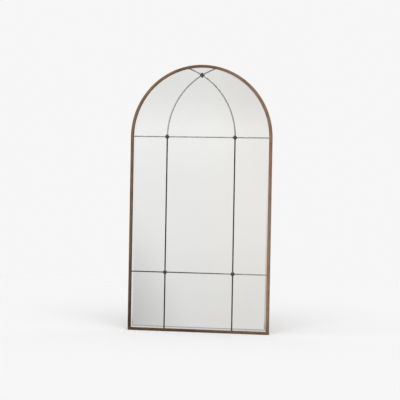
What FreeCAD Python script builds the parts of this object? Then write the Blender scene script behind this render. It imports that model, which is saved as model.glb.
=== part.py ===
"""Arched wall mirror: one bevelled sheet in a slim steel frame, with glazing bars laid on the glass.

Millimetres. The glass faces -Y, +Z is up and the plane y = 0 is the wall.
The origin is the middle of the sill's rear edge. An inset is a distance
in from the outer face of the frame, the same all the way round.
"""

import FreeCAD
import Part

import math
import os

Vector = FreeCAD.Vector

# Overall size
overall_width = 760.0
overall_height = 1400.0

# Frame section
face_width = 15.0
bead_thickness = 4.0
wall_thickness = 3.0
crown_rise = 1.8

# Glass sheet, what beds it and what backs it
tape_thickness = 1.0
tape_setback = 1.5
glass_thickness = 4.0
glass_edge_gap = 1.0
bevel_width = 20.0
bevel_depth = 2.0
block_length = 40.0
block_share = 0.25
interleaf_thickness = 0.5
board_thickness = 3.0

# Glazing bars
bar_width = 6.0
bar_height = 3.0
upright_share = 0.25
lower_transom_height = 310.0
upper_transom_rise = 2.0
lancet_crown_gap = 39.0
tongue_edge_gap = 2.0
tongue_gap = 0.1
bar_end_gap = 0.3
lap_gap = 0.1

# Bosses on the crossings
boss_width = 25.0
boss_height = 28.0
boss_rim_cover = 1.2
boss_peak_height = 6.0
boss_tip_width = 1.6
boss_foot_gap = 0.4
spigot_radius = 1.5
spigot_end_gap = 0.3

# Screws into the frame wall
screw_radius = 1.25
screw_bite = 2.2
screw_head_radius = 2.25
screw_head_height = 1.6
screw_slot_width = 0.6
screw_slot_depth = 0.7
hole_gap = 0.05
seat_gap = 0.1

# Corner angles and splice plates
plate_thickness = 2.0
plate_width = 5.0
corner_reach = 36.0
splice_reach = 36.0
plate_screw_shares = (0.4, 0.8)

# Retaining clips
clip_thickness = 1.0
clip_width = 14.0
clip_reach = 13.0
clip_wall_gap = 1.0
clip_stile_shares = (0.13, 0.45, 0.78)
clip_sill_share = 0.62
clip_arch_shares = (0.15, 0.37, 0.63, 0.85)

# Hanger rings and the straps they swing in
ring_wire_radius = 1.25
ring_half_width = 12.5
ring_drop = 17.5
ring_corner_radius = 4.0
ring_bore_gap = 0.1
ring_strap_gap = 0.3
ring_side_gap = 5.0
strap_thickness = 1.0
strap_eye_gap = 1.5
strap_end_margin = 5.5
hanger_wall_gap = 0.3

# Hanger brackets and rivets
bracket_thickness = 1.5
bracket_rise = 6.0
bracket_margin = 4.0
bracket_wall_gap = 0.8
bracket_screw_spacing = 30.0
bracket_splice_gap = 16.0
rivet_radius = 1.6
rivet_head_radius = 3.0
rivet_head_height = 1.5
rivet_ring_gap = 2.5
rivet_spacing = 8.0

# Every cutting tool runs past the material by this much
overrun = 5.0

# Hanger sizes that follow from the ring
eye_bore = ring_wire_radius + ring_bore_gap
eye_outer = eye_bore + strap_thickness
ring_lift = bracket_thickness + strap_thickness + ring_strap_gap + ring_wire_radius
strap_width = 2 * (ring_half_width - ring_corner_radius - strap_eye_gap)
rivet_first_drop = ring_drop + ring_wire_radius + rivet_ring_gap + rivet_head_radius
strap_length = rivet_first_drop + rivet_spacing + strap_end_margin
bracket_drop = strap_length + bracket_margin
bracket_width = 2 * (ring_half_width + ring_wire_radius + ring_side_gap)

# Layers, from the front of the frame at negative y to the wall at zero
recess_depth = ring_lift + eye_outer + hanger_wall_gap
board_back = -recess_depth
board_front = board_back - board_thickness
glass_back = board_front - interleaf_thickness
glass_front = glass_back - glass_thickness
lip_back = glass_front - tape_thickness
frame_front = lip_back - bead_thickness

# Outline, bars and heights
half_width = overall_width / 2
springing = overall_height - half_width
wall_reach = half_width - wall_thickness
glass_inset = wall_thickness + glass_edge_gap
block_x = block_share * (overall_width - 2 * glass_inset)
tongue_thickness = tape_thickness - tongue_gap
upright_x = upright_share * (overall_width - 2 * face_width)
upper_transom_height = springing + upper_transom_rise
lancet_rise = overall_height - face_width - lancet_crown_gap - upper_transom_height
lancet_radius = (upright_x ** 2 + lancet_rise ** 2) / (2 * upright_x)
hanger_height = springing - splice_reach - bracket_splice_gap - bracket_rise

sides = {"left": -1, "right": 1}

os.makedirs("parts", exist_ok=True)


def save(node, shapes):
    """Write one node; several shapes in it stay separate solids."""
    solids = [solid for shape in shapes for solid in shape.Solids]
    body = solids[0] if len(solids) == 1 else Part.makeCompound(solids)
    body.exportStep("parts/" + node + ".step")


def block(corner, opposite):
    """Box between two opposite corners, in any order."""
    low = Vector(min(corner.x, opposite.x), min(corner.y, opposite.y), min(corner.z, opposite.z))
    high = Vector(max(corner.x, opposite.x), max(corner.y, opposite.y), max(corner.z, opposite.z))
    size = high - low
    return Part.makeBox(size.x, size.y, size.z, low)


def polygon(points):
    """Closed straight-sided wire."""
    return Part.makePolygon(points + points[:1])


def outline(inset, y):
    """The mirror's outline, a rectangle under a half circle, set in by the inset."""
    reach = half_width - inset
    foot_left = Vector(-reach, y, inset)
    foot_right = Vector(reach, y, inset)
    spring_right = Vector(reach, y, springing)
    spring_left = Vector(-reach, y, springing)
    top = Vector(0, y, springing + reach)
    return Part.Wire([
        Part.LineSegment(foot_left, foot_right).toShape(),
        Part.LineSegment(foot_right, spring_right).toShape(),
        Part.Arc(spring_right, top, spring_left).toShape(),
        Part.LineSegment(spring_left, foot_left).toShape(),
    ])


def slab(inset, front, back):
    """Solid sheet with the mirror's outline between two planes."""
    return Part.Face(outline(inset, front)).extrude(Vector(0, back - front, 0))


def turned(shape, centre, side, degrees):
    """Shape revolved upwards about a line along Y, starting from the given side of the centre."""
    return shape.revolve(centre, Vector(0, -side, 0), degrees)


def mirrored(shape):
    """The same shape on the other side of the middle."""
    return shape.mirror(Vector(0, 0, 0), Vector(1, 0, 0))


# Places on the inner face of the frame wall, with local X pointing inwards

def wall_place(point, inward):
    angle = math.degrees(math.atan2(-inward.z, inward.x))
    return FreeCAD.Placement(point, FreeCAD.Rotation(Vector(0, 1, 0), angle))


def on_stile(side, height):
    return wall_place(Vector(side * wall_reach, 0, height), Vector(-side, 0, 0))


def on_sill(x):
    return wall_place(Vector(x, 0, wall_thickness), Vector(0, 0, 1))


def on_arch(angle):
    outward = Vector(math.cos(angle), 0, math.sin(angle))
    point = outward * wall_reach + Vector(0, 0, springing)
    return wall_place(point, outward * -1)


def placed(shape, placement):
    copy = shape.copy()
    copy.Placement = placement.multiply(copy.Placement)
    return copy


# Screw stations, used alike by the frame, the held piece and the screw

corner_steps = [share * corner_reach + wall_thickness for share in plate_screw_shares]
splice_steps = [share * splice_reach for share in plate_screw_shares]
hanger_middle = (bracket_rise - bracket_drop) / 2
hanger_steps = [hanger_middle + end * bracket_screw_spacing / 2 for end in (-1, 1)]

corner_stations = {}
splice_stations = {}
clip_stations = {}
hanger_stations = {}
for name, side in sides.items():
    start = 0 if side > 0 else math.pi
    splice_angles = [start + side * step / wall_reach for step in splice_steps]
    corner_stations[name] = {
        "stile": [on_stile(side, step) for step in corner_steps],
        "sill": [on_sill(side * (half_width - step)) for step in corner_steps],
    }
    splice_stations[name] = {
        "stile": [on_stile(side, springing - step) for step in splice_steps],
        "arch": [on_arch(angle) for angle in splice_angles],
    }
    clip_stations[name] = [on_stile(side, share * springing) for share in clip_stile_shares]
    hanger_stations[name] = [on_stile(side, hanger_height + step) for step in hanger_steps]
clip_stations["sill"] = [on_sill(side * clip_sill_share * half_width) for side in sides.values()]
clip_stations["arch"] = [on_arch(share * math.pi) for share in clip_arch_shares]

plate_line = board_back / 2
clip_line = (board_back + clip_thickness) / 2
bracket_line = (board_back + bracket_thickness) / 2

inwards = Vector(1, 0, 0)


def wall_hole(line):
    """Blind hole in the frame wall for one screw."""
    depth = screw_bite + seat_gap
    return Part.makeCylinder(screw_radius + hole_gap, depth + overrun, Vector(-depth, line, 0), inwards)


def plate_hole(line):
    """Clear hole through the leg that the screw holds."""
    return Part.makeCylinder(screw_radius + hole_gap, 2 * overrun, Vector(-overrun, line, 0), inwards)


def wall_screw(line, grip):
    """Slotted cheese-head screw through a held thickness into the wall."""
    seat = seat_gap + grip + hole_gap
    shank = Part.makeCylinder(screw_radius, screw_bite + seat, Vector(-screw_bite, line, 0), inwards)
    head = Part.makeCylinder(screw_head_radius, screw_head_height, Vector(seat, line, 0), inwards)
    slot_floor = seat + screw_head_height - screw_slot_depth
    slot_reach = screw_head_radius + overrun
    slot = block(Vector(slot_floor, line - slot_reach, -screw_slot_width / 2),
                 Vector(slot_floor + overrun, line + slot_reach, screw_slot_width / 2))
    return shank.fuse(head).cut(slot)


def drilled(shape, tool, stations):
    return shape.cut([placed(tool, station) for station in stations])


# Frame: rebated section with a crowned front, mitred at the foot and butted on the springing line

def frame_section(place):
    """Face of the section; place turns an inset and a depth into a point."""
    shoulder = frame_front + crown_rise
    outer_back = place(0, 0)
    outer_front = place(0, shoulder)
    crest = place(face_width / 2, frame_front)
    inner_front = place(face_width, shoulder)
    inner_back = place(face_width, lip_back)
    rebate = place(wall_thickness, lip_back)
    wall_back = place(wall_thickness, 0)
    return Part.Face(Part.Wire([
        Part.LineSegment(outer_back, outer_front).toShape(),
        Part.Arc(outer_front, crest, inner_front).toShape(),
        Part.LineSegment(inner_front, inner_back).toShape(),
        Part.LineSegment(inner_back, rebate).toShape(),
        Part.LineSegment(rebate, wall_back).toShape(),
        Part.LineSegment(wall_back, outer_back).toShape(),
    ]))


def mitre_wedge(side, tip_inset, tip_height):
    """Wedge on one side of the diagonal through a bottom corner; its tip picks the side."""
    run = face_width + overrun
    wedge = Part.Face(polygon([
        Vector(side * (half_width + overrun), overrun, -overrun),
        Vector(side * (half_width - run), overrun, run),
        Vector(side * (half_width - tip_inset), overrun, tip_height),
    ]))
    return wedge.extrude(Vector(0, frame_front - 2 * overrun, 0))


def frame_stile(name):
    side = sides[name]
    section = frame_section(lambda inset, y: Vector(side * (half_width - inset), y, 0))
    stile = section.extrude(Vector(0, 0, springing))
    stile = stile.cut(mitre_wedge(side, face_width + overrun, -overrun))
    stile = drilled(stile, wall_hole(plate_line), corner_stations[name]["stile"])
    stile = drilled(stile, wall_hole(plate_line), splice_stations[name]["stile"])
    stile = drilled(stile, wall_hole(clip_line), clip_stations[name])
    return drilled(stile, wall_hole(bracket_line), hanger_stations[name])


def frame_sill():
    section = frame_section(lambda inset, y: Vector(-half_width, y, inset))
    sill = section.extrude(Vector(overall_width, 0, 0))
    for name, side in sides.items():
        sill = sill.cut(mitre_wedge(side, -overrun, face_width + overrun))
        sill = drilled(sill, wall_hole(plate_line), corner_stations[name]["sill"])
    return drilled(sill, wall_hole(clip_line), clip_stations["sill"])


def frame_arch():
    section = frame_section(lambda inset, y: Vector(half_width - inset, y, springing))
    arch = turned(section, Vector(0, 0, springing), 1, 180)
    for name in sides:
        arch = drilled(arch, wall_hole(plate_line), splice_stations[name]["arch"])
    return drilled(arch, wall_hole(clip_line), clip_stations["arch"])


save("frame_arch", [frame_arch()])
save("frame_sill", [frame_sill()])
for name in sides:
    save("frame_stile_" + name, [frame_stile(name)])

# Corner angles and splice plates inside the wall, with their screws

plate_front = plate_line - plate_width / 2
plate_back = plate_line + plate_width / 2
plate_outer = wall_thickness + seat_gap
plate_inner = plate_outer + plate_thickness


def corner_angle(name):
    """Angle with one leg on the sill and one on the stile."""
    side = sides[name]
    tip = plate_outer + corner_reach
    heel = Vector(side * (half_width - plate_outer), plate_front, plate_outer)
    foot = block(heel, Vector(side * (half_width - tip), plate_back, plate_inner))
    leg = block(heel, Vector(side * (half_width - plate_inner), plate_back, tip))
    angle = foot.fuse(leg).removeSplitter()
    stations = corner_stations[name]
    return drilled(angle, plate_hole(plate_line), stations["stile"] + stations["sill"])


def splice_plate(name):
    """Flat on the stile below the springing line, then bent to the arch above it."""
    side = sides[name]
    outer = side * (half_width - plate_outer)
    inner = side * (half_width - plate_inner)
    flat = block(Vector(outer, plate_front, springing - splice_reach), Vector(inner, plate_back, springing))
    end_face = Part.Face(polygon([
        Vector(outer, plate_front, springing),
        Vector(inner, plate_front, springing),
        Vector(inner, plate_back, springing),
        Vector(outer, plate_back, springing),
    ]))
    sweep = math.degrees(splice_reach / wall_reach)
    plate = flat.fuse(turned(end_face, Vector(0, 0, springing), side, sweep))
    stations = splice_stations[name]
    return drilled(plate, plate_hole(plate_line), stations["stile"] + stations["arch"])


joint_stations = []
for name in sides:
    save("corner_angle_" + name, [corner_angle(name)])
    save("splice_plate_" + name, [splice_plate(name)])
    joint_stations += corner_stations[name]["stile"] + corner_stations[name]["sill"]
    joint_stations += splice_stations[name]["stile"] + splice_stations[name]["arch"]
joint_screw = wall_screw(plate_line, plate_thickness)
save("joint_screws", [placed(joint_screw, station) for station in joint_stations])

# Glass sheet with a ground bevel all round, the sheets behind it and the blocks under it

def bevelled_sheet():
    """Flat sheet whose front slopes back towards its edge."""
    edge_front = glass_front + bevel_depth
    base = slab(glass_inset, edge_front, glass_back)
    edge = outline(glass_inset, edge_front)
    field = outline(glass_inset + bevel_width, glass_front)
    return base.fuse(Part.makeLoft([edge, field], True, True)).removeSplitter()


def setting_block(side):
    middle = side * block_x
    return block(Vector(middle - block_length / 2, glass_front, wall_thickness),
                 Vector(middle + block_length / 2, board_back, glass_inset))


glass = bevelled_sheet()
save("mirror_glass", [glass])
save("interleaf", [slab(glass_inset, glass_back, board_front)])
save("backing_board", [slab(glass_inset, board_front, board_back)])
save("setting_blocks", [setting_block(side) for side in sides.values()])

# Glazing bars of half-round section, halved together where they cross

def bar_section(place):
    """Half-round face; place turns a distance across the bar and a height off the glass into a point."""
    left = place(-bar_width / 2, 0)
    crest = place(0, bar_height)
    right = place(bar_width / 2, 0)
    return Part.Face(Part.Wire([
        Part.Arc(left, crest, right).toShape(),
        Part.LineSegment(right, left).toShape(),
    ]))


def band_section(place, low, high):
    """Rectangle round the bar between two heights, with the lap gap on both sides."""
    reach = bar_width / 2 + lap_gap
    corners = [place(-reach, low), place(reach, low), place(reach, high), place(-reach, high)]
    return Part.Face(polygon(corners))


def along_transom(height):
    """Lay a section out as a transom."""
    start = Vector(-half_width, glass_front, height)

    def lay(section, *levels):
        face = section(lambda across, lift: start + Vector(0, -lift, across), *levels)
        return face.extrude(Vector(overall_width, 0, 0))
    return lay


def along_upright(side):
    """Lay a section out as an upright that ends on the upper transom's centre line."""
    start = Vector(side * upright_x, glass_front, 0)

    def lay(section, *levels):
        face = section(lambda across, lift: start + Vector(across, -lift, 0), *levels)
        return face.extrude(Vector(0, 0, upper_transom_height))
    return lay


def along_lancet(side):
    """Lay a section out as an arc that springs from an upright's head and leans over the middle."""
    start = Vector(side * upright_x, glass_front, upper_transom_height)
    centre = start - Vector(side * lancet_radius, 0, 0)

    def lay(section, *levels):
        face = section(lambda across, lift: start + Vector(across, -lift, 0), *levels)
        return turned(face, centre, side, 90)
    return lay


lays = {
    "transom_lower": along_transom(lower_transom_height),
    "transom_upper": along_transom(upper_transom_height),
    "upright_left": along_upright(-1),
    "upright_right": along_upright(1),
    "lancet_left": along_lancet(-1),
    "lancet_right": along_lancet(1),
}

# Each crossing: its place, the bar that laps over, the bars that pass under
crossings = {
    "top": (0, upper_transom_height + lancet_rise, "lancet_left", ["lancet_right"]),
    "upper_left": (-upright_x, upper_transom_height, "transom_upper", ["upright_left", "lancet_left"]),
    "upper_right": (upright_x, upper_transom_height, "transom_upper", ["upright_right", "lancet_right"]),
    "lower_left": (-upright_x, lower_transom_height, "transom_lower", ["upright_left"]),
    "lower_right": (upright_x, lower_transom_height, "transom_lower", ["upright_right"]),
}

tool_front = frame_front - overrun
tongue_limit = slab(glass_inset + tongue_edge_gap, tool_front, glass_back)
clear_of_lip = slab(face_width + bar_end_gap, tool_front, glass_back)
over_tongue = slab(0, tool_front, glass_front - tongue_thickness).cut(clear_of_lip)


def crossing_site(x, z):
    """Box round a crossing, so that a cut made there reaches nothing else."""
    reach = boss_height / 2
    return block(Vector(x - reach, tool_front, z - reach), Vector(x + reach, glass_back, z + reach))


def glazing_bar(node):
    bar = lays[node](bar_section).common(tongue_limit).cut(over_tongue)
    for x, z, over, unders in crossings.values():
        if node != over and node not in unders:
            continue
        if node == over:
            laps = [lays[under](band_section, -overrun, bar_height / 2) for under in unders]
        else:
            laps = [lays[over](band_section, bar_height / 2, bar_height + overrun)]
        site = crossing_site(x, z)
        hole_start = Vector(x, tool_front, z)
        hole = Part.makeCylinder(spigot_radius + hole_gap, -tool_front, hole_start, Vector(0, 1, 0))
        bar = bar.cut([lap.common(site) for lap in laps] + [hole])
    return bar


for node in lays:
    save(node, [glazing_bar(node)])

# Soft tape from the sheet's edge to just short of the lip's, cut away for the tongues

tape_inner = face_width - tape_setback
tape = slab(glass_inset, lip_back, glass_back).cut(slab(tape_inner, lip_back, glass_back))
tape = tape.cut(glass)
tape = tape.cut([lay(band_section, -glass_thickness, bar_height) for lay in lays.values()])
save("glazing_tape", [tape])

# Bosses: lozenge pyramids that sit astride the crossing bars on a spigot

def lozenge(x, y, z, width, height):
    return polygon([
        Vector(x - width / 2, y, z),
        Vector(x, y, z + height / 2),
        Vector(x + width / 2, y, z),
        Vector(x, y, z - height / 2),
    ])


def boss(x, z, over, unders):
    foot = glass_front - boss_foot_gap
    rim = glass_front - bar_height - boss_rim_cover
    peak = rim - boss_peak_height
    tip_height = boss_tip_width * boss_height / boss_width
    base = lozenge(x, rim, z, boss_width, boss_height)
    skirt = Part.Face(base).extrude(Vector(0, foot - rim, 0))
    pyramid = Part.makeLoft([base, lozenge(x, peak, z, boss_tip_width, tip_height)], True, True)
    saddles = [lays[node](band_section, 0, bar_height + lap_gap) for node in [over] + unders]
    body = skirt.fuse(pyramid).removeSplitter().cut(saddles)
    spigot_length = bar_height + 2 * lap_gap - spigot_end_gap
    spigot_end = Vector(x, glass_front - spigot_end_gap, z)
    return body.fuse(Part.makeCylinder(spigot_radius, spigot_length, spigot_end, Vector(0, -1, 0)))


for place, (x, z, over, unders) in crossings.items():
    save("boss_" + place, [boss(x, z, over, unders)])

# Retaining clips behind the board

def retaining_clip():
    """Angle with a short leg on the frame wall and a foot on the board."""
    heel = Vector(seat_gap, board_back, -clip_width / 2)
    leg = block(heel, Vector(seat_gap + clip_thickness, -clip_wall_gap, clip_width / 2))
    foot = block(heel, Vector(clip_reach, board_back + clip_thickness, clip_width / 2))
    return leg.fuse(foot).removeSplitter().cut(plate_hole(clip_line))


all_clip_stations = [station for group in clip_stations.values() for station in group]
clip = retaining_clip()
clip_screw = wall_screw(clip_line, clip_thickness)
save("retaining_clips", [placed(clip, station) for station in all_clip_stations])
save("clip_screws", [placed(clip_screw, station) for station in all_clip_stations])

# Hangers, worked out at the left stile's inner wall and the ring's axis: bracket, strap, ring, rivets

bracket_back = board_back + bracket_thickness
strap_back = bracket_back + strap_thickness
ring_x = bracket_width / 2
ring_y = board_back + ring_lift
rivet_drops = [rivet_first_drop, rivet_first_drop + rivet_spacing]


def rivet_shank(drop, gap):
    """Shank from the bracket's front to the strap's back, with a gap round it."""
    start = Vector(ring_x, board_back, -drop)
    return Part.makeCylinder(rivet_radius + gap, strap_back - board_back, start, Vector(0, 1, 0))


def hanger_bracket():
    """Angle with a leg on the stile's wall and a broad foot on the board."""
    heel = Vector(seat_gap, board_back, -bracket_drop)
    foot = block(heel, Vector(bracket_width, bracket_back, bracket_rise))
    leg = block(heel, Vector(seat_gap + bracket_thickness, -bracket_wall_gap, bracket_rise))
    bracket = foot.fuse(leg).removeSplitter()
    for step in hanger_steps:
        bracket = bracket.cut(plate_hole(bracket_line).translated(Vector(0, 0, step)))
    return bracket.cut([rivet_shank(drop, hole_gap) for drop in rivet_drops])


def hanger_strap():
    """Flat tail that rolls up into an eye round the ring's straight side."""
    left = ring_x - strap_width / 2
    tail = block(Vector(left, bracket_back, -strap_length), Vector(left + strap_width, strap_back, 0))
    start = Vector(left, ring_y, 0)
    eye = Part.makeCylinder(eye_outer, strap_width, start, inwards)
    bore = Part.makeCylinder(eye_bore, strap_width, start, inwards)
    return tail.fuse(eye).cut([bore] + [rivet_shank(drop, hole_gap) for drop in rivet_drops])


def hanger_ring():
    """Round wire bent to a D: a straight side on the axis, two corners, a half circle below."""
    upwards = Vector(0, 0, 1)

    def wire_face(x, z, along):
        return Part.Face(Part.Wire(Part.makeCircle(ring_wire_radius, Vector(x, ring_y, z), along)))

    corner = ring_corner_radius
    bow_top = ring_half_width - ring_drop
    pivot_start = ring_x - ring_half_width + corner
    pivot = wire_face(pivot_start, 0, inwards).extrude(inwards * (2 * (ring_half_width - corner)))
    pieces = []
    for side in sides.values():
        x = ring_x + side * ring_half_width
        centre = Vector(x - side * corner, ring_y, -corner)
        pieces.append(turned(wire_face(x, -corner, upwards), centre, side, 90))
        pieces.append(wire_face(x, bow_top, upwards).extrude(upwards * (-corner - bow_top)))
    bow_start = wire_face(ring_x + ring_half_width, bow_top, upwards)
    pieces.append(turned(bow_start, Vector(ring_x, ring_y, bow_top), -1, 180))
    return pivot.fuse(pieces).removeSplitter()


def hanger_rivet(drop):
    """Flush shank under a domed head."""
    dome_radius = (rivet_head_radius ** 2 + rivet_head_height ** 2) / (2 * rivet_head_height)
    dome = Part.makeSphere(dome_radius, Vector(ring_x, strap_back + rivet_head_height - dome_radius, -drop))
    keep = block(Vector(ring_x - dome_radius, strap_back, -drop - dome_radius),
                 Vector(ring_x + dome_radius, strap_back + dome_radius, -drop + dome_radius))
    return rivet_shank(drop, 0).fuse(dome.common(keep))


def hanger_pair(shape):
    """The piece on the left stile and its mirror image on the right one."""
    left = placed(shape, on_stile(-1, hanger_height))
    return {"left": left, "right": mirrored(left)}


for node, shape in (("bracket", hanger_bracket()), ("strap", hanger_strap()), ("ring", hanger_ring())):
    for name, piece in hanger_pair(shape).items():
        save("hanger_" + node + "_" + name, [piece])
save("hanger_rivets", [piece for drop in rivet_drops for piece in hanger_pair(hanger_rivet(drop)).values()])
bracket_screw = wall_screw(bracket_line, bracket_thickness)
all_hanger_stations = hanger_stations["left"] + hanger_stations["right"]
save("hanger_screws", [placed(bracket_screw, station) for station in all_hanger_stations])
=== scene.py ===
"""Arched wall mirror with glazing bars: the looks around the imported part.

Metres, in the part's own frame: the glass faces -Y, +Z is up and the wall is the plane y = 0.
"""

import bmesh
import bpy
import numpy as np
from mathutils import Matrix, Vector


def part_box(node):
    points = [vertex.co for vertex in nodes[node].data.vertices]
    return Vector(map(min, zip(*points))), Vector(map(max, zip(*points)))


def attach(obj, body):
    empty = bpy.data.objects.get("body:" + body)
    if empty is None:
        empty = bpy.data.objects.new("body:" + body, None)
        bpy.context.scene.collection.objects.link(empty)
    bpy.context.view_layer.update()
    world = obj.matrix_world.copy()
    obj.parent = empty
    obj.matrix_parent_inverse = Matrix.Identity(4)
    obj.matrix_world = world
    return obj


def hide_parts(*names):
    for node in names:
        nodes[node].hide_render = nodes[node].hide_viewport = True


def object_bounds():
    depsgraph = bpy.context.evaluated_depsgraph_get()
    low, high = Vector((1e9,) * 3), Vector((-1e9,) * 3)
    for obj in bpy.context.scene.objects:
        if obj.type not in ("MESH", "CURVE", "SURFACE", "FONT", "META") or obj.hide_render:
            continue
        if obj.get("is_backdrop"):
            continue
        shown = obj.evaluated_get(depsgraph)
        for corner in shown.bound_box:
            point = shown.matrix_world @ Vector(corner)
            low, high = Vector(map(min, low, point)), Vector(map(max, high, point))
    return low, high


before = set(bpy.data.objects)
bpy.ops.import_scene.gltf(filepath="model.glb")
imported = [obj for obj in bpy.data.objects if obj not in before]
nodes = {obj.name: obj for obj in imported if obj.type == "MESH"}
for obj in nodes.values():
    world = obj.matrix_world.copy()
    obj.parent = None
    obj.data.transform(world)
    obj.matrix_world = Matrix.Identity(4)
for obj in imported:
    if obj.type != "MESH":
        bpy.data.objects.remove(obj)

cad_low, cad_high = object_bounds()


# Frame: four lengths of rolled steel, a half-round arch on two stiles and a mitred sill.
# The welds are ground flush, so no joint shows, and the bronze coat was brushed on along
# the length and rubbed back by hand until the crown came through lighter.

half_width = cad_high.x
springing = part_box("frame_arch")[0].z
frame_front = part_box("frame_arch")[0].y
face_width = half_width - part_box("frame_stile_right")[0].x
wall_thickness = 0.003
bead_thickness = 0.004
shoulder_drop = 0.0018
crown_apex = 0.0037
crown_radius = 0.0145
edge_radius = 0.0003
shoulder = frame_front + shoulder_drop


def rounded_loop(corners, radii, steps):
    """Closed outline with rounded corners.

    Each corner gives way to the arc of its radius that touches both of its sides. Seen from the
    arc's centre, its two ends are turned into one another in equal steps.
    """
    corners = np.asarray(corners, float)
    radii = np.asarray(radii, float)[:, None]
    before = np.roll(corners, 1, 0) - corners
    after = np.roll(corners, -1, 0) - corners
    before /= np.linalg.norm(before, axis=1, keepdims=True)
    after /= np.linalg.norm(after, axis=1, keepdims=True)
    half_angle = np.arccos((before * after).sum(1, keepdims=True)) / 2
    middle = before + after
    middle /= np.linalg.norm(middle, axis=1, keepdims=True)
    centres = corners + middle * radii / np.sin(half_angle)
    starts = corners + before * radii / np.tan(half_angle) - centres
    ends = corners + after * radii / np.tan(half_angle) - centres
    sweep = (np.pi - 2 * half_angle)[:, None]
    share = np.linspace(0, 1, steps)[None, :, None]
    turned = starts[:, None] * np.sin((1 - share) * sweep) + ends[:, None] * np.sin(share * sweep)
    return (centres[:, None] + turned / np.sin(sweep)).reshape(-1, 2)


def skin(name, points):
    """Closed skin over a grid of points.

    Row i holds the i-th section along the path and closes on itself; flat caps shut both ends.
    The map gives each corner its length along the path and its length round the section.
    """
    rows, columns = points.shape[:2]
    row = np.arange(rows - 1)[:, None]
    column = np.arange(columns)[None, :]
    near, far = row * columns, (row + 1) * columns
    following = (column + 1) % columns
    quads = np.stack(np.broadcast_arrays(near + column, near + following, far + following, far + column), -1)
    quads = quads.reshape(-1, 4)
    caps = [np.arange(columns)[::-1].tolist(), (np.arange(columns) + (rows - 1) * columns).tolist()]
    mesh = bpy.data.meshes.new(name)
    mesh.from_pydata(points.reshape(-1, 3).tolist(), [], quads.tolist() + caps)
    smooth = np.r_[np.ones(len(quads), bool), np.zeros(len(caps), bool)]
    mesh.polygons.foreach_set("use_smooth", smooth)
    closed = np.concatenate([points, points[:, :1]], 1)
    along = np.zeros(closed.shape[:2])
    along[1:] = np.cumsum(np.linalg.norm(np.diff(closed, axis=0), axis=2), 0)
    girth = np.zeros(closed.shape[:2])
    girth[:, 1:] = np.cumsum(np.linalg.norm(np.diff(closed, axis=1), axis=2), 1)
    lengths = np.stack([along, girth], -1)
    corner_lengths = [lengths[:-1, :-1], lengths[:-1, 1:], lengths[1:, 1:], lengths[1:, :-1]]
    layer = np.zeros((len(mesh.loops), 2), np.float32)
    layer[: quads.size] = np.stack(corner_lengths, 2).reshape(-1, 2)
    mesh.uv_layers.new(name="lengths").data.foreach_set("uv", layer.ravel())
    outward = bmesh.new()
    outward.from_mesh(mesh)
    bmesh.ops.recalc_face_normals(outward, faces=outward.faces)
    outward.to_mesh(mesh)
    outward.free()
    mesh.set_sharp_from_angle(angle=np.radians(40))
    return mesh


def fitted(mesh, material, node):
    """The mesh as a piece of the mirror that stands for one CAD node."""
    body = bpy.data.objects.new(mesh.name, mesh)
    bpy.context.scene.collection.objects.link(body)
    mesh.materials.append(material)
    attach(body, "mirror")
    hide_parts(node)
    return body


def put(tree, kind, sockets=(), **settings):
    """One shader node with its settings made, and each given input linked or set."""
    made = tree.nodes.new("ShaderNode" + kind)
    for name, value in settings.items():
        setattr(made, name, value)
    for name, value in dict(sockets).items():
        if isinstance(value, bpy.types.NodeSocket):
            tree.links.new(value, made.inputs[name])
        else:
            made.inputs[name].default_value = value
    return made


def tones(tree, factor, stops):
    """A colour ramp through the given places and colours, lowest place first."""
    ramp = put(tree, "ValToRGB", {"Fac": factor})
    for place, colour in stops[1:-1]:
        ramp.color_ramp.elements.new(place)
    for element, (place, colour) in zip(ramp.color_ramp.elements, stops):
        element.position = place
        element.color = (*colour, 1)
    return ramp.outputs["Color"]


def spanned(tree, value, span, result, **settings):
    """A value carried from one span of numbers to another and held at both ends."""
    limits = {"From Min": span[0], "From Max": span[1], "To Min": result[0], "To Max": result[1]}
    return put(tree, "MapRange", {"Value": value, **limits}, **settings).outputs[0]


def blank_finish(name):
    """A material with its shader, and the tree to build on."""
    material = bpy.data.materials.new(name)
    material.use_nodes = True
    tree = material.node_tree
    return material, tree, tree.nodes["Principled BSDF"]


def hand_marks():
    """Marks of hand work as three masks: broad clouds, streaks along the first axis, fine grain."""
    group = bpy.data.node_groups.new("hand_marks", "ShaderNodeTree")
    group.interface.new_socket("Place", in_out="INPUT", socket_type="NodeSocketVector")
    way_in = group.nodes.new("NodeGroupInput")
    way_out = group.nodes.new("NodeGroupOutput")
    marks = {
        "Cloud": ((22, 60, 60), 4.0),
        "Streak": ((45, 2200, 2200), 3.0),
        "Grain": ((1800, 1800, 1800), 2.0),
    }
    for name, (stretch, detail) in marks.items():
        group.interface.new_socket(name, in_out="OUTPUT", socket_type="NodeSocketFloat")
        stretched = put(group, "VectorMath", {0: way_in.outputs["Place"], 1: stretch}, operation="MULTIPLY")
        noise = put(group, "TexNoise", {"Vector": stretched.outputs[0], "Scale": 1.0, "Detail": detail})
        group.links.new(noise.outputs["Fac"], way_out.inputs[name])
    return group


marks_group = hand_marks()


def marked(tree, place):
    """The hand marks at the given place, as sockets."""
    group = put(tree, "Group", node_tree=marks_group)
    tree.links.new(place, group.inputs["Place"])
    return group.outputs


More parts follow.
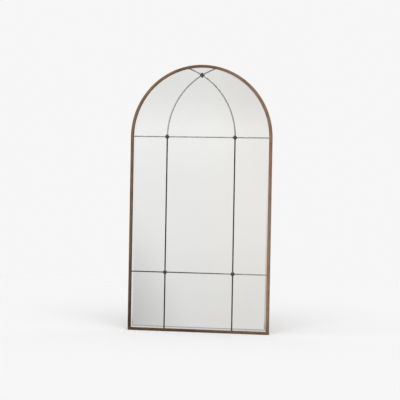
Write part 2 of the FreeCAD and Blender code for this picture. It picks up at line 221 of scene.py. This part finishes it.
def bronze_coat():
    """Umber to tan in clouds, brush streaks and fine grain, made lighter and darker by an attribute that
    holds wear and painted light and shade.
    """
    material, tree, shader = blank_finish("bronze_coat")
    lengths = put(tree, "UVMap", uv_map="lengths")
    marks = marked(tree, lengths.outputs["UV"])
    fine = put(tree, "Mix", {"Factor": 0.6, "A": marks["Streak"], "B": marks["Grain"]})
    mixed = put(tree, "Mix", {"Factor": 0.7, "A": marks["Cloud"], "B": fine.outputs[0]})
    # The attribute holds wear along the crown and painted light and shade elsewhere
    wear_and_painted_shade = put(tree, "Attribute", attribute_name="wear_and_painted_shade")
    coat_tone = put(tree, "Math", {0: mixed.outputs[0], 1: wear_and_painted_shade.outputs["Fac"]}, operation="ADD")
    colours = [
        (0.185, (0.050, 0.025, 0.013)),
        (0.47, (0.185, 0.104, 0.056)),
        (0.755, (0.400, 0.255, 0.152)),
    ]
    tree.links.new(tones(tree, coat_tone.outputs[0], colours), shader.inputs["Base Color"])
    dull = spanned(tree, marks["Cloud"], (0.3, 0.7), (0.5, 0.34))
    tree.links.new(dull, shader.inputs["Roughness"])
    relief = put(tree, "Bump", {"Height": mixed.outputs[0], "Strength": 0.25, "Distance": 0.0003})
    tree.links.new(relief.outputs[0], shader.inputs["Normal"])
    shader.inputs["Metallic"].default_value = 0.7
    return material


def frame_with_wear_and_shade(name, points, node):
    """A length of the frame with its wear and its painted light and shade.

    The coat is painted lighter towards the right, as painted light, and is lighter along the crown of the
    section as wear. Bell curves keep it dark round the middle of the arch and the sill, as painted shade, and
    painted shade darkens it from the foot upwards by a falling exponential, reaching higher on the left. The
    ledge of the sill is painted a little lighter again, as painted light.
    """
    mesh = skin(name, points)
    across, height = points[..., 0] / half_width, points[..., 2] / cad_high.z
    crown = np.clip((shoulder - points[..., 1]) / shoulder_drop, 0, 1)
    # Apart from the crown's wear, these terms are painted light and shade: darker round the middle, at the
    # foot and on the left, lighter to the right
    middle = (0.08 + 0.09 * height) * np.exp(-(((across + 0.03) / 0.42) ** 2))
    foot = (0.255 - 0.075 * across) * np.exp(-height / (0.15 - 0.12 * across))
    ledge = (0.06 - 0.08 * across) * np.exp(-height / 0.012)
    wear_and_painted_shade = 0.03 + 0.06 * across + 0.045 * crown - middle - foot + ledge - 0.06 * across * height ** 3
    mesh.attributes.new("wear_and_painted_shade", "FLOAT", "POINT").data.foreach_set("value", wear_and_painted_shade.ravel().astype(np.float32))
    return fitted(mesh, bronze, node)


bronze = bronze_coat()
lip_back = frame_front + bead_thickness
section = rounded_loop(
    [
        (0, 0),
        (0, shoulder),
        (face_width / 2, shoulder - crown_apex),
        (face_width, shoulder),
        (face_width, lip_back),
        (wall_thickness, lip_back),
        (wall_thickness, 0),
    ],
    [edge_radius, edge_radius, crown_radius, edge_radius, edge_radius, edge_radius, edge_radius],
    11,
)
inset, depth = section.T
reach = half_width - inset
turn = np.linspace(0, np.pi, 181)[:, None]
share = np.linspace(0, 1, 61)[:, None]

arch_points = np.stack(np.broadcast_arrays(reach * np.cos(turn), depth, springing + reach * np.sin(turn)), -1)
frame_with_wear_and_shade("arch", arch_points, "frame_arch")
sill_points = np.stack(np.broadcast_arrays(reach * (2 * share - 1), depth, inset), -1)
frame_with_wear_and_shade("sill", sill_points, "frame_sill")
for name, side in (("left", -1), ("right", 1)):
    heights = inset + (springing - inset) * share
    stile_points = np.stack(np.broadcast_arrays(side * reach, depth, heights), -1)
    frame_with_wear_and_shade("stile_" + name, stile_points, "frame_stile_" + name)


# Corner angles, splice plates and their screws: cut from steel strip, bent, drilled and zinc
# plated. They sit inside the frame wall, the angles across the mitred corners and the splices
# across the springing joints, each held by slotted screws.

def zinc_plate():
    """Grey plating with a faint crystal spangle and dull handling marks."""
    material, tree, shader = blank_finish("zinc_plate")
    place = put(tree, "TexCoord").outputs["Object"]
    marks = marked(tree, place)
    spangle = put(tree, "TexVoronoi", {"Vector": place, "Scale": 420.0})
    crystal = put(tree, "SeparateColor", {"Color": spangle.outputs["Color"]})
    mixed = put(tree, "Mix", {"Factor": 0.6, "A": crystal.outputs[0], "B": marks["Cloud"]})
    colours = [(0.2, (0.40, 0.42, 0.43)), (0.8, (0.66, 0.67, 0.66))]
    tree.links.new(tones(tree, mixed.outputs[0], colours), shader.inputs["Base Color"])
    dull = spanned(tree, mixed.outputs[0], (0, 1), (0.26, 0.5))
    tree.links.new(dull, shader.inputs["Roughness"])
    relief = put(tree, "Bump", {"Height": marks["Grain"], "Strength": 0.12, "Distance": 0.0001})
    tree.links.new(relief.outputs[0], shader.inputs["Normal"])
    shader.inputs["Metallic"].default_value = 1.0
    return material


def finished(node, material):
    """Gives a CAD node its finish."""
    nodes[node].data.materials.clear()
    nodes[node].data.materials.append(material)


zinc = zinc_plate()
for side in ("left", "right"):
    finished("corner_angle_" + side, zinc)
    finished("splice_plate_" + side, zinc)
finished("joint_screws", zinc)


# Glass: one sheet of 4 mm float glass cut to the arch, ground along its edge to a wide shallow
# bevel, of which the frame's lip covers half, and silvered behind. The bars lie on its face, so
# that each shows again, a little to one side, in the silver.

glass_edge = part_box("mirror_glass")[1].x
glass_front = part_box("mirror_glass")[0].y
glass_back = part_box("mirror_glass")[1].y
bevel_width = 0.020
bevel_depth = 0.002
arris_width = 0.0024
edge_flat = 0.0003
coat_front, coat_rear = 0.00006, 0.00002


def sheet_ring(reach, depth):
    """Outlines of the sheet, one row for each reach and depth: up the right side, over the arch,
    down the left side and back along the foot, with the foot as far below as the reach is short."""
    foot = half_width - reach
    rise = foot + (springing - foot) * np.linspace(0, 1, 41)[:-1]
    over = np.linspace(0, np.pi, 181)[:-1]
    run = np.linspace(-1, 1, 41)[:-1]
    side = np.broadcast_to(reach, rise.shape)
    level = np.broadcast_to(foot, (len(reach), len(run)))
    x = np.concatenate([side, reach * np.cos(over), -side, reach * run], 1)
    z = np.concatenate([rise, springing + reach * np.sin(over), foot + springing - rise, level], 1)
    return np.stack([x, np.broadcast_to(depth, x.shape), z], -1)


def blended(tree, factor, first, second, **settings):
    """Two colours, of which the factor lets the second through."""
    colours = {"Factor": factor, "A": first, "B": second}
    return put(tree, "Mix", colours, data_type="RGBA", **settings).outputs[2]


def clear_glass():
    """Clear float glass with the faintest drift in its tint, greyed by painted shade along its edge."""
    material, tree, shader = blank_finish("clear_glass")
    place = put(tree, "TexCoord").outputs["Object"]
    drift = put(tree, "TexNoise", {"Vector": place, "Scale": 5.0, "Detail": 2.0})
    clear = tones(tree, drift.outputs["Fac"], [(0.3, (0.976, 0.980, 0.978)), (0.7, (0.986, 0.988, 0.987))])
    # The attribute is painted shade along the arris and the foot
    painted_edge_shade = put(tree, "Attribute", attribute_name="painted_edge_shade")
    greyed = blended(tree, painted_edge_shade.outputs["Fac"], clear, (0.44, 0.44, 0.43, 1))
    tree.links.new(greyed, shader.inputs["Base Color"])
    shader.inputs["Roughness"].default_value = 0.0
    shader.inputs["IOR"].default_value = 1.52
    shader.inputs["Transmission Weight"].default_value = 1.0
    return material


def silvering():
    """Neutral silver with broad, hardly visible cloudiness."""
    material, tree, shader = blank_finish("silvering")
    place = put(tree, "TexCoord").outputs["Object"]
    broad = put(tree, "TexNoise", {"Vector": place, "Scale": 4.0, "Detail": 2.0})
    colours = [(0.3, (0.946, 0.944, 0.943)), (0.7, (0.957, 0.955, 0.954))]
    tree.links.new(tones(tree, broad.outputs["Fac"], colours), shader.inputs["Base Color"])
    shader.inputs["Roughness"].default_value = 0.0
    shader.inputs["Metallic"].default_value = 1.0
    return material


# The worked arris is a parabola from the flat field to the bevel's slope, then the bevel runs
# straight to the edge, which has a small flat of its own
slope = bevel_depth / bevel_width
field_reach = glass_edge - bevel_width
worked = np.linspace(0, arris_width, 7)
# Rings at these places carry the band of painted shade
shade_start, shade_step = 0.0035, 0.003
bevel_runs = np.array([shade_step, bevel_width - edge_flat])
sheet_reach = np.r_[-shade_start, worked - arris_width / 2, bevel_runs, bevel_width, bevel_width] + field_reach
bevel_drop = np.r_[0, slope * worked ** 2 / (2 * arris_width), slope * bevel_runs, bevel_depth + edge_flat]
sheet_depth = np.r_[glass_front + bevel_drop, glass_back]
sheet_points = sheet_ring(sheet_reach[:, None], sheet_depth[:, None])
sheet = skin("glass_sheet", sheet_points)
ring_count = sheet_points.shape[1]
curved = np.zeros(len(sheet.polygons), bool)
curved[ring_count: (len(worked) + 1) * ring_count] = True
sheet.polygons.foreach_set("use_smooth", curved)

# Painted shade on the glass: a line along the arris and a paler band beside it, full along the foot,
# fading up the left side and only a trace elsewhere
band_shade, trace_shade, left_shade = 0.45, 0.08, 0.35
full_height, trace_height, left_height = 0.03, 0.09, 0.15
painted_edge_shade = np.r_[0, np.ones(len(worked)), np.full(4, band_shade)][:, None]
x, z = sheet_points[..., 0], sheet_points[..., 2]
at_foot = np.clip((trace_height - z) / (trace_height - full_height), trace_shade, 1)
at_left = left_shade * (x < 0) * np.exp(-z / left_height)
painted_edge_shade = (painted_edge_shade * np.maximum(at_foot, at_left)).ravel().astype(np.float32)
sheet.attributes.new("painted_edge_shade", "FLOAT", "POINT").data.foreach_set("value", painted_edge_shade)
fitted(sheet, clear_glass(), "mirror_glass")
coat_depth = glass_back - np.array([coat_front, coat_rear])[:, None]
coat = skin("silver_coat", sheet_ring(np.full((2, 1), glass_edge - edge_flat), coat_depth))
fitted(coat, silvering(), "mirror_glass")


# Bedding: strips of black felt tape between the lip and the bevel, cut to let the bar ends
# through, and two rubber blocks at the quarter points that carry the sheet's weight.

def soft_black(name, tone, scale, depth):
    """Near-black with a fine nap or skin."""
    material, tree, shader = blank_finish(name)
    place = put(tree, "TexCoord").outputs["Object"]
    nap = put(tree, "TexNoise", {"Vector": place, "Scale": scale, "Detail": 4.0})
    colours = [(0.3, (tone * 0.6,) * 3), (0.7, (tone * 1.4,) * 3)]
    tree.links.new(tones(tree, nap.outputs["Fac"], colours), shader.inputs["Base Color"])
    relief = put(tree, "Bump", {"Height": nap.outputs["Fac"], "Strength": 0.5, "Distance": depth})
    tree.links.new(relief.outputs[0], shader.inputs["Normal"])
    shader.inputs["Roughness"].default_value = 0.9
    return material


finished("glazing_tape", soft_black("felt", 0.018, 2500.0, 0.0004))
finished("setting_blocks", soft_black("rubber", 0.025, 900.0, 0.0001))


# Backing: a sheet of grey card laid against the silvering, then a smooth brown fibreboard
# pressed from wood fibre and cut to the same outline as the glass.

def pressed_sheet(name, dark, light, fibre, fleck):
    """Pressed fibre: broad soft clouds, short fibres lying every way and paler flecks."""
    material, tree, shader = blank_finish(name)
    place = put(tree, "TexCoord").outputs["Object"]
    broad = put(tree, "TexNoise", {"Vector": place, "Scale": 4.0, "Detail": 2.0})
    lie = {"Detail": 6.0, "Roughness": 0.7, "Distortion": 1.5}
    fibres = put(tree, "TexNoise", {"Vector": place, "Scale": fibre, **lie})
    mixed = put(tree, "Mix", {"Factor": 0.8, "A": broad.outputs["Fac"], "B": fibres.outputs["Fac"]})
    colour = tones(tree, mixed.outputs[0], [(0.36, dark), (0.62, light)])
    flecks = put(tree, "TexVoronoi", {"Vector": place, "Scale": fleck})
    pale = spanned(tree, flecks.outputs["Distance"], (0.05, 0.2), (0.35, 0.0))
    flecked = blended(tree, pale, colour, (*np.minimum(1, np.array(light) * 1.5), 1))
    tree.links.new(flecked, shader.inputs["Base Color"])
    relief = put(tree, "Bump", {"Height": fibres.outputs["Fac"], "Strength": 0.3, "Distance": 0.0002})
    tree.links.new(relief.outputs[0], shader.inputs["Normal"])
    shader.inputs["Roughness"].default_value = 0.8
    return material


grey_card = pressed_sheet("grey_card", (0.30, 0.29, 0.26), (0.42, 0.40, 0.36), 700.0, 300.0)
fibreboard = pressed_sheet("fibreboard", (0.115, 0.066, 0.034), (0.225, 0.140, 0.078), 420.0, 160.0)
finished("interleaf", grey_card)
finished("backing_board", fibreboard)


# Glazing bars: half-round steel bar, 6 mm wide, in a dark pewter finish. Two transoms, two
# uprights and two arcs lie on the glass; each end is thinned to a tongue that slips under the
# frame's lip, and crossing bars are halved together under the bosses.

bar_half = (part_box("transom_lower")[1].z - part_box("transom_lower")[0].z) / 2
bar_height = glass_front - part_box("transom_lower")[0].y
tongue_height = 0.0009
lip_clearance = 0.0003
seat_gap = 0.00005
lip_reach = half_width - face_width - lip_clearance
tongue_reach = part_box("transom_lower")[1].x
upright_x = (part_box("upright_right")[0].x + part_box("upright_right")[1].x) / 2
lower_transom = (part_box("transom_lower")[0].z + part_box("transom_lower")[1].z) / 2
upper_transom = (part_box("transom_upper")[0].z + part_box("transom_upper")[1].z) / 2
crossing = (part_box("boss_top")[0].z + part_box("boss_top")[1].z) / 2


def pewter_finish():
    """Dark grey with streaks along the bar, paler where a highlight is painted on and darker where shade is
    painted.
    """
    material, tree, shader = blank_finish("pewter")
    lengths = put(tree, "UVMap", uv_map="lengths")
    marks = marked(tree, lengths.outputs["UV"])
    mixed = put(tree, "Mix", {"Factor": 0.4, "A": marks["Cloud"], "B": marks["Streak"]})
    painted_glint_and_shade = put(tree, "Attribute", attribute_name="painted_glint_and_shade")
    bright = put(tree, "Math", {0: mixed.outputs[0], 1: painted_glint_and_shade.outputs["Fac"]}, operation="ADD")
    colours = [
        (0.25, (0.045, 0.047, 0.048)),
        (0.464, (0.110, 0.111, 0.110)),
        (0.714, (0.420, 0.418, 0.410)),
        (1.0, (0.660, 0.657, 0.645)),
    ]
    tone_with_glint = spanned(tree, bright.outputs[0], (0, 1.4), (0, 1))
    tree.links.new(tones(tree, tone_with_glint, colours), shader.inputs["Base Color"])
    dull = spanned(tree, marks["Cloud"], (0, 1), (0.46, 0.3))
    tree.links.new(dull, shader.inputs["Roughness"])
    relief = put(tree, "Bump", {"Height": marks["Streak"], "Strength": 0.2, "Distance": 0.0001})
    tree.links.new(relief.outputs[0], shader.inputs["Normal"])
    shader.inputs["Metallic"].default_value = 0.8
    return material


pewter = pewter_finish()
bar_seat = glass_front - seat_gap
round_turn = np.linspace(0, np.pi, 17)
across = bar_half * np.cos(round_turn)
lift = (bar_height - seat_gap) * np.sin(round_turn)


def lifted(coat_tone):
    """Depths of the bar's section along its length: half-round off the glass, and no higher than
    the tongue where the end is thinned."""
    return bar_seat - np.where(coat_tone[:, None], np.minimum(lift, tongue_height), lift)


def bar_with_glint_and_shade(name, points, node, start, end):
    """A bar whose painted highlight changes evenly from its first end to its last; values below nought paint
    shade.
    """
    mesh = skin(name, points)
    painted_glint_and_shade = np.repeat(np.linspace(start, end, len(points)), points.shape[1])
    mesh.attributes.new("painted_glint_and_shade", "FLOAT", "POINT").data.foreach_set("value", painted_glint_and_shade.astype(np.float32))
    return fitted(mesh, pewter, node)


body = np.linspace(-lip_reach, lip_reach, 81)
transom_runs = np.r_[-tongue_reach, -lip_reach, body, lip_reach, tongue_reach]
transom_thin = np.r_[True, True, np.zeros(len(body), bool), True, True]
# Painted highlights and shade along each bar: transoms and arcs painted lighter, uprights darker
for name, height, glint_and_shade in (("lower", lower_transom, (-0.12, 0.46)), ("upper", upper_transom, (0.42, 0.38))):
    points = np.stack(np.broadcast_arrays(transom_runs[:, None], lifted(transom_thin), height + across), -1)
    bar_with_glint_and_shade("transom_bar_" + name, points, "transom_" + name, *glint_and_shade)

body = np.linspace(half_width - lip_reach, upper_transom, 81)
upright_runs = np.r_[half_width - tongue_reach, half_width - lip_reach, body]
upright_thin = np.r_[True, True, np.zeros(len(body), bool)]
for name, side in (("left", -1), ("right", 1)):
    x = side * upright_x + across
    points = np.stack(np.broadcast_arrays(x, lifted(upright_thin), upright_runs[:, None]), -1)
    bar_with_glint_and_shade("upright_bar_" + name, points, "upright_" + name, -0.08, -0.06)

lancet_rise = crossing - upper_transom
lancet_radius = (upright_x ** 2 + lancet_rise ** 2) / (2 * upright_x)
lancet_offset = upright_x - lancet_radius
radius = lancet_radius + across


def turn_to(limit):
    """Turn about the arc's centre at which each line along the bar comes to the given distance from
    the middle of the frame's arch, by the law of cosines."""
    rise = upper_transom - springing
    span = np.hypot(lancet_offset, rise)
    corner = np.arccos((limit ** 2 - radius ** 2 - span ** 2) / (2 * radius * span))
    return np.arctan2(rise, lancet_offset) - corner


body = np.linspace(0, 1, 81)[:, None] * turn_to(lip_reach)
arc_turns = np.concatenate([body, turn_to(lip_reach)[None], turn_to(tongue_reach)[None]])
arc_thin = np.r_[np.zeros(len(body), bool), True, True]
for name, side, glint_and_shade in (("left", -1, (0.85, 0.36)), ("right", 1, (0.54, 0.30))):
    x = side * (lancet_offset + radius * np.cos(arc_turns))
    z = upper_transom + radius * np.sin(arc_turns)
    points = np.stack([x, lifted(arc_thin), z], -1)
    bar_with_glint_and_shade("arc_bar_" + name, points, "lancet_" + name, *glint_and_shade)


# Bosses: small cast lozenges, one pinned over each crossing by a spigot, with four soft
# facets that rise to a blunt tip. They are blackened and waxed, and their ridges and rim are
# painted paler, as wear and as a painted highlight.

def boss_finish():
    """Blackened casting with a sandy skin, paler along the ridges and rim as wear and as a painted highlight.
    """
    material, tree, shader = blank_finish("waxed_casting")
    place = put(tree, "TexCoord").outputs["Object"]
    pits = put(tree, "TexNoise", {"Vector": place, "Scale": 650.0, "Detail": 4.0})
    black = tones(tree, pits.outputs["Fac"], [(0.3, (0.050, 0.051, 0.052)), (0.7, (0.115, 0.114, 0.111))])
    tone_with_glint = tones(tree, pits.outputs["Fac"], [(0.3, (0.12, 0.12, 0.12)), (0.7, (0.26, 0.26, 0.25))])
    ridge = put(tree, "Attribute", attribute_name="ridge")
    colour = blended(tree, ridge.outputs["Fac"], black, tone_with_glint)
    tree.links.new(colour, shader.inputs["Base Color"])
    dull = spanned(tree, pits.outputs["Fac"], (0, 1), (0.24, 0.44))
    tree.links.new(dull, shader.inputs["Roughness"])
    relief = put(tree, "Bump", {"Height": pits.outputs["Fac"], "Strength": 0.2, "Distance": 0.0003})
    tree.links.new(relief.outputs[0], shader.inputs["Normal"])
    shader.inputs["Metallic"].default_value = 0.85
    return material


casting = boss_finish()
boss_tip = 0.064
rim_height = 0.0012
rim_round = 0.0003
foot_round = 0.0002
boss_rim = glass_front - bar_height - rim_height
foot_gap = 0.0001
boss_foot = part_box("boss_top")[1].y - foot_gap
facet_end, rim_turn, foot_draw = 0.97, 0.992, 0.985
corner_softness = 1.85
ridge_width, rim_width = 0.07, 0.03
turns = np.linspace(0, 2 * np.pi, 65)[:-1]
plan_x = np.sign(np.cos(turns)) * np.abs(np.cos(turns)) ** corner_softness
plan_z = np.sign(np.sin(turns)) * np.abs(np.sin(turns)) ** corner_softness
facet = np.linspace(boss_tip, facet_end, 13)
spread = np.r_[facet, rim_turn, 1, 1, foot_draw][:, None]
# Ridges and rim are painted paler, as wear and as a painted highlight
ridge = np.exp(-((np.minimum(np.abs(plan_x), np.abs(plan_z)) / ridge_width) ** 2))
ridge = ridge + np.exp(-(((spread - foot_draw) / rim_width) ** 2))
ridge = np.clip(ridge, 0, 1).astype(np.float32)

for place in ("top", "upper_left", "upper_right", "lower_left", "lower_right"):
    low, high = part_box("boss_" + place)
    middle = (low + high) / 2
    slope_depth = low.y + (boss_rim - low.y) * (facet - boss_tip) / (1 - boss_tip)
    rim_depth = [boss_rim - seat_gap, boss_rim + rim_round]
    drop = np.r_[slope_depth, rim_depth, boss_foot - foot_round, boss_foot][:, None]
    x = middle.x + (high.x - low.x) / 2 * spread * plan_x
    z = middle.z + (high.z - low.z) / 2 * spread * plan_z
    points = np.stack(np.broadcast_arrays(x, drop, z), -1)
    lozenge = skin("lozenge_" + place, points)
    lozenge.attributes.new("ridge", "FLOAT", "POINT").data.foreach_set("value", ridge.ravel())
    fitted(lozenge, casting, "boss_" + place)


# Retaining clips and screws: short angles folded from zinc-plated strip, screwed to the frame
# wall with their feet pressing on the fibreboard.

for node in ("retaining_clips", "clip_screws"):
    finished(node, zinc)


# Hangers: a zinc-plated angle bracket screwed to each stile, with a nickel-plated strap
# riveted to it and rolled round the straight side of a wire ring that swings in it.

def nickel_plate():
    """Warm bright plating with fine scratches and dull clouds."""
    material, tree, shader = blank_finish("nickel_plate")
    place = put(tree, "TexCoord").outputs["Object"]
    marks = marked(tree, place)
    colours = [(0.3, (0.52, 0.49, 0.43)), (0.7, (0.72, 0.69, 0.62))]
    tree.links.new(tones(tree, marks["Cloud"], colours), shader.inputs["Base Color"])
    dull = spanned(tree, marks["Streak"], (0.3, 0.7), (0.16, 0.36))
    tree.links.new(dull, shader.inputs["Roughness"])
    relief = put(tree, "Bump", {"Height": marks["Streak"], "Strength": 0.1, "Distance": 0.0001})
    tree.links.new(relief.outputs[0], shader.inputs["Normal"])
    shader.inputs["Metallic"].default_value = 1.0
    return material


nickel = nickel_plate()
for side in ("left", "right"):
    finished("hanger_bracket_" + side, zinc)
    finished("hanger_strap_" + side, nickel)
    finished("hanger_ring_" + side, nickel)
finished("hanger_rivets", nickel)
finished("hanger_screws", zinc)


# Floor and light: a wide pale floor that thins out into a white room, an even soft light from
# all round and a broad lamp from the viewer's side. What shines sees a room that is brighter on
# the left, darker on the right and softly banded towards the horizon.

def floor_paint():
    """Matt pale paint that fades out far from the mirror."""
    material, tree, shader = blank_finish("floor_paint")
    place = put(tree, "TexCoord").outputs["Object"]
    roll = put(tree, "TexNoise", {"Vector": place, "Scale": 40.0, "Detail": 2.0})
    colours = [(0.3, (0.913, 0.913, 0.913)), (0.7, (0.917, 0.917, 0.917))]
    tree.links.new(tones(tree, roll.outputs["Fac"], colours), shader.inputs["Base Color"])
    far = put(tree, "VectorMath", {0: place}, operation="LENGTH")
    fade = spanned(tree, far.outputs["Value"], (2.0, 6.0), (1.0, 0.0), interpolation_type="SMOOTHSTEP")
    tree.links.new(fade, shader.inputs["Alpha"])
    shader.inputs["Roughness"].default_value = 1.0
    shader.inputs["Specular IOR Level"].default_value = 0.0
    return material


floor_reach = 6.5
floor_level = -0.0005
floor_mesh = bpy.data.meshes.new("floor")
floor_signs = ((-1, -1), (1, -1), (1, 1), (-1, 1))
floor_corners = [(x * floor_reach, y * floor_reach, floor_level) for x, y in floor_signs]
floor_mesh.from_pydata(floor_corners, [], [(0, 1, 2, 3)])
floor_mesh.materials.append(floor_paint())
floor = bpy.data.objects.new("floor", floor_mesh)
bpy.context.scene.collection.objects.link(floor)
floor.visible_glossy = False
floor.visible_transmission = False
floor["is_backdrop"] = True

lamp_data = bpy.data.lights.new("broad_lamp", "SUN")
lamp_data.energy = 1.64
lamp_data.angle = np.radians(50)
lamp = bpy.data.objects.new("broad_lamp", lamp_data)
bpy.context.scene.collection.objects.link(lamp)
lamp.rotation_euler = (np.radians(55), 0, np.radians(14))
lamp.visible_glossy = False

world = bpy.data.worlds.new("white_room")
world.use_nodes = True
bpy.context.scene.world = world
sky = world.node_tree
way = put(sky, "TexCoord").outputs["Generated"]
parts = put(sky, "SeparateXYZ", {"Vector": way})

# Tone of the room by height above the horizon in degrees, then by direction from left to right
bands = [
    (-90, 0.62), (-25, 0.74), (-12, 0.78), (-4.4, 0.745), (-1.8, 0.85), (0, 0.88), (1.3, 0.93),
    (2.5, 0.80), (14.5, 0.97), (90, 1.15),
]
heights = [((np.sin(np.radians(degrees)) + 1) / 2, (tone,) * 3) for degrees, tone in bands]
banded = tones(sky, spanned(sky, parts.outputs["Z"], (-1, 1), (0, 1)), heights)
sides = [
    (-1.0, (0.85, 0.85, 0.85)), (-0.45, (0.98, 0.98, 0.98)), (-0.275, (1.0, 1.0, 1.0)),
    (-0.21, (1.0, 0.99, 0.96)), (-0.1, (1.06, 1.05, 1.03)), (0.1, (1.06, 1.05, 1.03)),
    (0.3, (0.80, 0.80, 0.79)), (1.0, (0.65, 0.65, 0.65)),
]
breadth = spanned(sky, parts.outputs["X"], (-1, 1), (0, 1))
sided = tones(sky, breadth, [((x + 1) / 2, tone) for x, tone in sides])
room = blended(sky, 1.0, banded, sided, blend_type="MULTIPLY")

# More light from the upper and lower left than from the right, and two soft dim patches
off_level = put(sky, "Math", {0: parts.outputs["Z"]}, operation="ABSOLUTE")
slant = put(sky, "Math", {0: parts.outputs["X"], 1: off_level.outputs[0]}, operation="MULTIPLY")
level = spanned(sky, slant.outputs[0], (-0.45, 0.35), (1.17, 0.85))
patches = ((18.0, -6.2, 2.8, 6.6, 0.66), (11.5, 2.5, 1.0, 3.5, 0.94))
for azimuth, elevation, inner, outer, least in patches:
    left, up = np.radians([azimuth, elevation])
    middle = (-np.sin(left) * np.cos(up), -np.cos(left) * np.cos(up), np.sin(up))
    apart = put(sky, "VectorMath", {0: way, 1: middle}, operation="SUBTRACT")
    narrowed = put(sky, "VectorMath", {0: apart.outputs[0], 1: (1.6, 1, 1)}, operation="MULTIPLY")
    length = put(sky, "VectorMath", {0: narrowed.outputs[0]}, operation="LENGTH")
    spread = np.radians([inner, outer])
    dim = spanned(sky, length.outputs["Value"], spread, (least, 1.0), interpolation_type="SMOOTHSTEP")
    level = put(sky, "Math", {0: level, 1: dim}, operation="MULTIPLY").outputs[0]
dimmed = put(sky, "VectorMath", {0: room, "Scale": level}, operation="SCALE")
rays = put(sky, "LightPath")
ray_kinds = {0: rays.outputs["Is Glossy Ray"], 1: rays.outputs["Is Transmission Ray"]}
shone = put(sky, "Math", ray_kinds, operation="MAXIMUM")
soft_light, backdrop = (0.72, 0.72, 0.72, 1), (0.9216, 0.9216, 0.9216, 1)
shining = blended(sky, shone.outputs[0], soft_light, dimmed.outputs[0])
seen = blended(sky, rays.outputs["Is Camera Ray"], shining, backdrop)
sky.links.new(seen, sky.nodes["Background"].inputs["Color"])


# Camera: a long lens ten metres off, a little to the right of the mirror and just above its
# middle, held a degree out of level as the picture was.

camera_data = bpy.data.cameras.new("camera")
camera_data.lens = 175.8
camera_data.sensor_width = 36
camera = bpy.data.objects.new("camera", camera_data)
bpy.context.scene.collection.objects.link(camera)
yaw, pitch, roll = np.radians([13.869, 0.734, 1.025])
aim = Matrix.Rotation(yaw, 3, "Z") @ Matrix.Rotation(np.pi / 2 - pitch, 3, "X")
heading = aim @ Matrix.Rotation(roll, 3, "Z")
stand = (2.4511, -9.9380, 0.8239)
camera.matrix_world = Matrix.Translation(stand) @ heading.to_4x4()
bpy.context.scene.camera = camera
bpy.context.scene.view_settings.view_transform = "Standard"

low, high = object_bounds()
